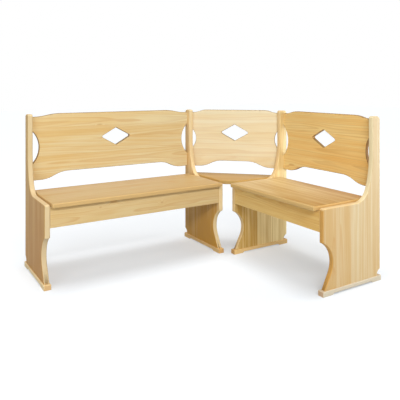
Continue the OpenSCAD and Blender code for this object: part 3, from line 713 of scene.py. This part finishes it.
screw, size = new_tree("countersunk screw", Length=0.04, Head=0.008, Sink=0.0024, Thread=0.004, Core=0.0026,
                       Plain=0.012, Point=0.004, Pitch=0.0018, Recess=0.0044, Blade=0.0009, Deep=0.0018,
                       Seed=5)
head = add(screw, "ShaderNodeMath", {0: size["Head"], 1: 0.5}, operation="MULTIPLY")
core = add(screw, "ShaderNodeMath", {0: size["Core"], 1: 0.5}, operation="MULTIPLY")
crest = add(screw, "ShaderNodeMath", {0: size["Thread"], 1: 0.5}, operation="MULTIPLY")
tip = add(screw, "ShaderNodeMath", {0: size["Length"], 1: size["Point"]}, operation="SUBTRACT")
cone = add(screw, "GeometryNodeMeshCone", {"Vertices": 24, "Radius Top": core, "Radius Bottom": head,
                                           "Depth": size["Sink"]})
# the cross that the driver turns is cut 1.8 mm deep into the head by two blades, which narrow to
# 0.45 of the recess's width at its foot and stand out of the head by as much
twice = add(screw, "ShaderNodeMath", {0: size["Deep"], 1: 2.0}, operation="MULTIPLY")
above = add(screw, "ShaderNodeMath", {0: size["Deep"], 1: -1.0}, operation="MULTIPLY")
blades = []
for angle in (0.0, math.pi / 2):
    blade = add(screw, "ShaderNodeCombineXYZ", {0: size["Recess"], 1: size["Blade"], 2: twice})
    blade = add(screw, "GeometryNodeMeshCube", {"Size": blade})
    x, y, z = add(screw, "ShaderNodeSeparateXYZ", {0: add(screw, "GeometryNodeInputPosition")}).outputs
    narrow = add(screw, "ShaderNodeMapRange", {0: z, 1: above, 2: size["Deep"], 3: 1.2, 4: 0.45})
    x = add(screw, "ShaderNodeMath", {0: x, 1: narrow}, operation="MULTIPLY")
    place = add(screw, "ShaderNodeCombineXYZ", {0: x, 1: y, 2: z})
    blade = add(screw, "GeometryNodeSetPosition", {"Geometry": blade.outputs["Mesh"], "Position": place})
    blades.append(add(screw, "GeometryNodeTransform", {"Geometry": blade, "Rotation": (0.0, 0.0, angle)}))
cut = add(screw, "GeometryNodeMeshBoolean", {"Mesh 1": cone.outputs["Mesh"]}, operation="DIFFERENCE",
          solver="EXACT")
for blade in blades:
    screw.links.new(blade.outputs[0], cut.inputs["Mesh 2"])
# the shank starts four fifths down the head's cone, and the point is a cone of its own
root = add(screw, "ShaderNodeMath", {0: size["Sink"], 1: 0.8}, operation="MULTIPLY")
tall = add(screw, "ShaderNodeMath", {0: tip, 1: root}, operation="SUBTRACT")
shank = add(screw, "GeometryNodeMeshCylinder", {"Vertices": 16, "Radius": core, "Depth": tall})
middle = add(screw, "ShaderNodeMath", {0: tall, 1: 0.5, 2: root}, operation="MULTIPLY_ADD")
middle = add(screw, "ShaderNodeCombineXYZ", {2: middle})
shank = add(screw, "GeometryNodeTransform", {"Geometry": shank.outputs["Mesh"], "Translation": middle})
point = add(screw, "GeometryNodeMeshCone", {"Vertices": 16, "Radius Top": 0.0, "Radius Bottom": core,
                                            "Depth": size["Point"]})
place = add(screw, "ShaderNodeCombineXYZ", {2: tip})
point = add(screw, "GeometryNodeTransform", {"Geometry": point.outputs["Mesh"], "Translation": place})
# the thread is a ridge that winds along the core, and then three quarters down the point
ridge = add(screw, "ShaderNodeMath", {0: crest, 1: core}, operation="SUBTRACT")
ridge = add(screw, "GeometryNodeCurvePrimitiveCircle", {"Resolution": 4, "Radius": ridge})
down_point = add(screw, "ShaderNodeMath", {0: size["Point"], 1: 0.75}, operation="MULTIPLY")
along_core = add(screw, "ShaderNodeMath", {0: tip, 1: size["Plain"]}, operation="SUBTRACT")
threads = []
for start, climb, last in ((size["Plain"], along_core, core), (tip, down_point, 0.0002)):
    winds = add(screw, "ShaderNodeMath", {0: climb, 1: size["Pitch"]}, operation="DIVIDE")
    spiral = add(screw, "GeometryNodeCurveSpiral", {"Resolution": 14, "Rotations": winds,
                                                    "Start Radius": core, "End Radius": last,
                                                    "Height": climb})
    thread = add(screw, "GeometryNodeCurveToMesh", {"Curve": spiral, "Profile Curve": ridge.outputs["Curve"],
                                                    "Fill Caps": True})
    place = add(screw, "ShaderNodeCombineXYZ", {2: start})
    threads.append(add(screw, "GeometryNodeTransform", {"Geometry": thread, "Translation": place}))
parts = add(screw, "GeometryNodeJoinGeometry")
for part in [cut, shank, point] + threads:
    screw.links.new(part.outputs[0], parts.inputs[0])
parts = add(screw, "GeometryNodeSetShadeSmooth", {"Geometry": parts, "Shade Smooth": False})
set_out(screw, size, parts, zinc)

fasteners("cleat_screws", "screw_steel", screw, Length=0.04, Seed=11)
fasteners("seat_screws", "screw_steel", screw, Length=0.04, Seed=12)
fasteners("runner_screws", "screw_steel", screw, Length=0.05, Seed=13)


# Studio
# The picture's surroundings: pale seamless paper, one wide soft light straight from above, broad
# lamps in front of the bench and on its left, a low one on its right, and an even white surround.
FLOOR_REACH = 20


def background_rays(tree):
    """1 for the rays that show the background: from the camera, off a gloss or through glass."""
    ray = add(tree, "ShaderNodeLightPath").outputs
    seen = add(tree, "ShaderNodeMath", {0: ray["Is Camera Ray"], 1: ray["Is Glossy Ray"]},
               operation="MAXIMUM")
    return add(tree, "ShaderNodeMath", {0: seen, 1: ray["Is Transmission Ray"]}, operation="MAXIMUM")


floor = bpy.data.meshes.new("floor")
floor.from_pydata([(x * FLOOR_REACH, y * FLOOR_REACH, 0) for x, y in ((-1, -1), (1, -1), (1, 1), (-1, 1))],
                  [], [(0, 1, 2, 3)])
floor = bpy.data.objects.new("floor", floor)
bpy.context.scene.collection.objects.link(floor)
floor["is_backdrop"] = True

# matt paper: pale grey that the lamps bring to near white. They reach the near paper more than the
# far, so the rays that show it find it lifted to white by just what is missing there: the more,
# the further it lies from the near right, and more again towards the camera. Its shadows keep
# their depth
NEAR_RIGHT = (0.97, -8.9, 0)
NEAR, FAR, LEAST_LIFT, MOST_LIFT = 7.5, 11.4, 0.255, 0.585
FRONT_FROM, FRONT_TO, FRONT_LIFT = -2.6, -6.0, 0.33
paper = bpy.data.materials.new("matt white paper")
tree = empty_tree(paper)
place = add(tree, "ShaderNodeTexCoord").outputs["Object"]
away = add(tree, "ShaderNodeVectorMath", {0: place, 1: NEAR_RIGHT}, operation="DISTANCE")
lift = add(tree, "ShaderNodeMapRange", {0: away, 1: NEAR, 2: FAR, 3: LEAST_LIFT, 4: MOST_LIFT},
           interpolation_type="SMOOTHSTEP")
y = add(tree, "ShaderNodeSeparateXYZ", {0: place}).outputs["Y"]
front = add(tree, "ShaderNodeMapRange", {0: y, 1: FRONT_FROM, 2: FRONT_TO, 3: 0.0, 4: FRONT_LIFT},
            interpolation_type="SMOOTHSTEP")
lift = add(tree, "ShaderNodeMath", {0: lift, 1: front}, operation="ADD")
lift = add(tree, "ShaderNodeMath", {0: background_rays(tree), 1: lift}, operation="MULTIPLY")
matt = add(tree, "ShaderNodeBsdfDiffuse", {"Color": linear("#c1c6cb")})
glow = add(tree, "ShaderNodeEmission", {"Color": linear("#ffffff"), "Strength": lift})
both = add(tree, "ShaderNodeAddShader", {0: matt, 1: glow})
add(tree, "ShaderNodeOutputMaterial", {"Surface": both})
floor.data.materials.append(paper)

# the surround shows as white and lights the bench at a fifth of that
world = bpy.data.worlds.new("white surround")
bpy.context.scene.world = world
tree = empty_tree(world)
strength = add(tree, "ShaderNodeMapRange", {0: background_rays(tree), 3: 0.2, 4: 1.0})
surround = add(tree, "ShaderNodeBackground", {"Color": linear("#ffffff"), "Strength": strength})
add(tree, "ShaderNodeOutputWorld", {"Surface": surround})

# each lamp's place, the point it shines at, its width and height, or the sun's angle, and its power
for name, place, target, size, power in (
        ("soft light from above", (0, 0, 3), (0, 0, 0), math.radians(30), 1.72),
        ("broad lamp in front", (-0.95, -3.1, 2.3), (0.1, 0.2, 0.4), (2.0, 0.5), 81),
        ("broad lamp on the left", (-2.6, -1.2, 1.5), (0.3, 0, 0.5), (1.5, 1.5), 20),
        ("low lamp on the right", (2.9, -1.3, 0.7), (0.6, 0, 0.3), (1.6, 1.0), 45)):
    if isinstance(size, tuple):
        lamp = bpy.data.lights.new(name, "AREA")
        lamp.shape = "RECTANGLE"
        lamp.size, lamp.size_y = size
    else:
        lamp = bpy.data.lights.new(name, "SUN")
        lamp.angle = size
    lamp.energy = power
    light = bpy.data.objects.new(name, lamp)
    light.location = place
    light.rotation_euler = (Vector(target) - Vector(place)).to_track_quat("-Z", "Y").to_euler()
    bpy.context.scene.collection.objects.link(light)

# the camera stands 1.08 m up in front, beyond the long bench's outer end, and looks level and 33
# degrees to the right, as the photo's edges tell; the shifts stand for how the photo was cropped
camera = bpy.data.cameras.new("camera")
camera.sensor_width = 36
camera.lens = 45.134
camera.shift_x = -0.01895
camera.shift_y = -0.285
eye = bpy.data.objects.new("camera", camera)
eye.location = (-1.50309, -2.47858, 1.07762)
eye.rotation_euler = (math.radians(90), 0, -0.568057)
bpy.context.scene.collection.objects.link(eye)
bpy.context.scene.camera = eye

bpy.context.scene.view_settings.view_transform = "Standard"
low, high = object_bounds()
list(low)
list(high)
